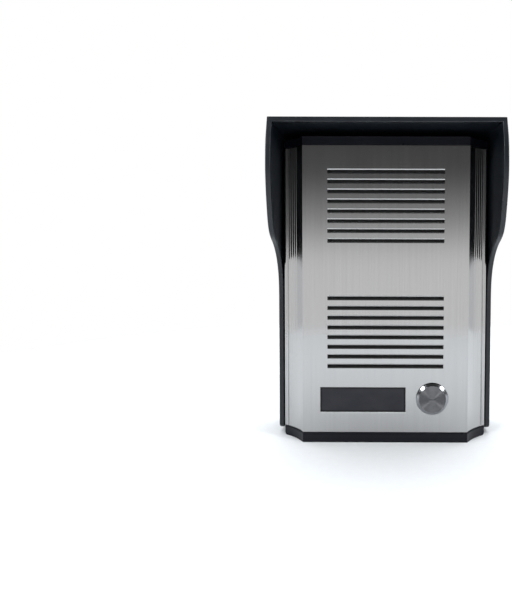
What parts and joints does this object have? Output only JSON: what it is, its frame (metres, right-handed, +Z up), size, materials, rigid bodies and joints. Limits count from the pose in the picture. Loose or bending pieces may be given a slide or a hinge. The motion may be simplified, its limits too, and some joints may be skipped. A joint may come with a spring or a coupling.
{
  "type": "door intercom panel",
  "caption": "Outdoor door intercom panel: brushed aluminium front with sound slots, lit nameplate and round call button, in a black rain hood.",
  "frame": {"origin": "middle of the wall bracket, on the face that lies against the wall", "axes": "+Z up, +Y into the wall so the front faces -Y, +X to the right as seen by a caller"},
  "size_m": [0.1048, 0.0534, 0.1488],
  "materials": {
    "hood_plastic": "satin, lightly worn on the rim",
    "brushed_aluminium": "vertical brush, clear anodised",
    "cap_plastic": "satin",
    "zinc_steel": "zinc plated",
    "stainless_steel": "plain",
    "cover_plastic": "matt moulded",
    "frame_plastic": "matt moulded",
    "foam": "closed-cell foam",
    "basket_paint": "satin black",
    "ferrite": "unglazed",
    "cone_paper": "pressed pulp",
    "surround_cloth": "coated cloth",
    "copper": "enamelled copper wire",
    "black_cloth": "fine woven",
    "boot_rubber": "moulded",
    "capsule_aluminium": "plain",
    "smoked_acrylic": "smoked, semi-gloss",
    "card": "printed plain",
    "white_plastic": "moulded",
    "diffuser_plastic": "opal",
    "circuit_board": "solder mask",
    "led_epoxy": "clear epoxy",
    "button_steel": "radially turned face, polished bevel",
    "spring_steel": "bright drawn",
    "switch_plastic": "moulded",
    "terminal_plastic": "moulded",
    "terminal_metal": "tinned brass",
    "chip_epoxy": "moulded epoxy",
    "capacitor_sleeve": "shrunk sleeve",
    "resistor_body": "lacquered",
    "trimmer_plastic": "moulded",
    "core_steel": "laminated, varnished",
    "coil_tape": "polyester tape",
    "red_insulation": "PVC",
    "grey_insulation": "PVC"
  },
  "bodies": {
    "housing": {"amplifier_chip": "chip_epoxy", "board_screws": "zinc_steel", "bottom_cap": "cap_plastic", "bottom_cap_screws": "zinc_steel", "button_housing": "cap_plastic", "button_spring": "spring_steel", "capacitors": "capacitor_sleeve", "faceplate": "brushed_aluminium", "inner_frame": "frame_plastic", "lamp_board": "circuit_board", "lamp_leds": "led_epoxy", "lamp_wires": "grey_insulation", "light_diffuser": "diffuser_plastic", "locking_screw": "stainless_steel", "main_board": "circuit_board", "mic_boot": "boot_rubber", "mic_capsule": "capsule_aluminium", "mic_mesh": "black_cloth", "mic_wires": "grey_insulation", "name_card": "card", "nameplate_holder": "white_plastic", "nameplate_window": "smoked_acrylic", "push_switch_body": "switch_plastic", "rain_hood": "hood_plastic", "rear_cover": "cover_plastic", "rear_cover_screws": "zinc_steel", "resistors": "resistor_body", "speaker_basket": "basket_paint", "speaker_gasket": "foam", "speaker_magnet": "ferrite", "speaker_mesh": "black_cloth", "speaker_pole_piece": "zinc_steel", "speaker_screws": "zinc_steel", "speaker_surround": "surround_cloth", "speaker_top_plate": "zinc_steel", "speaker_wires": "red_insulation", "terminal_block": "terminal_plastic", "terminal_clamps": "terminal_metal", "terminal_screws": "zinc_steel", "top_cap": "cap_plastic", "top_cap_screws": "zinc_steel", "transformer_coil": "coil_tape", "transformer_core": "core_steel", "transistors": "chip_epoxy", "trimmer_body": "trimmer_plastic", "wall_bracket": "cover_plastic"},
    "call_button": {"button_cap": "button_steel", "button_plunger": "frame_plastic", "button_clip": "spring_steel"},
    "switch_actuator": {"push_switch_actuator": "white_plastic"},
    "volume_trimmer": {"trimmer_rotor": "white_plastic"},
    "cone_assembly": {"speaker_cone": "cone_paper", "speaker_dust_cap": "cone_paper", "speaker_voice_coil": "copper"}
  },
  "joints": [
    {"name": "call_button_press", "type": "slide", "parent": "housing", "child": "call_button", "axis": [0, 1, 0], "range_m": [0, 0.0015], "stiffness_N_per_m": 500, "springref_m": -0.002, "deforming": ["button_spring"]},
    {"name": "switch_actuator_press", "type": "slide", "parent": "housing", "child": "switch_actuator", "axis": [0, 1, 0], "range_m": [0, 0.0015]},
    {"name": "volume_trimmer_turn", "type": "hinge", "parent": "housing", "child": "volume_trimmer", "pos_m": [-0.024, -0.009, 0.022], "axis": [0, 1, 0], "range_deg": [-135, 135]},
    {"name": "cone_stroke", "type": "slide", "parent": "housing", "child": "cone_assembly", "axis": [0, 1, 0], "range_m": [-0.0004, 0.0004], "stiffness_N_per_m": 1500, "deforming": ["speaker_surround"]}
  ],
  "couplings": [
    {"joint": "switch_actuator_press", "follows": "call_button_press", "ratio": 1}
  ]
}
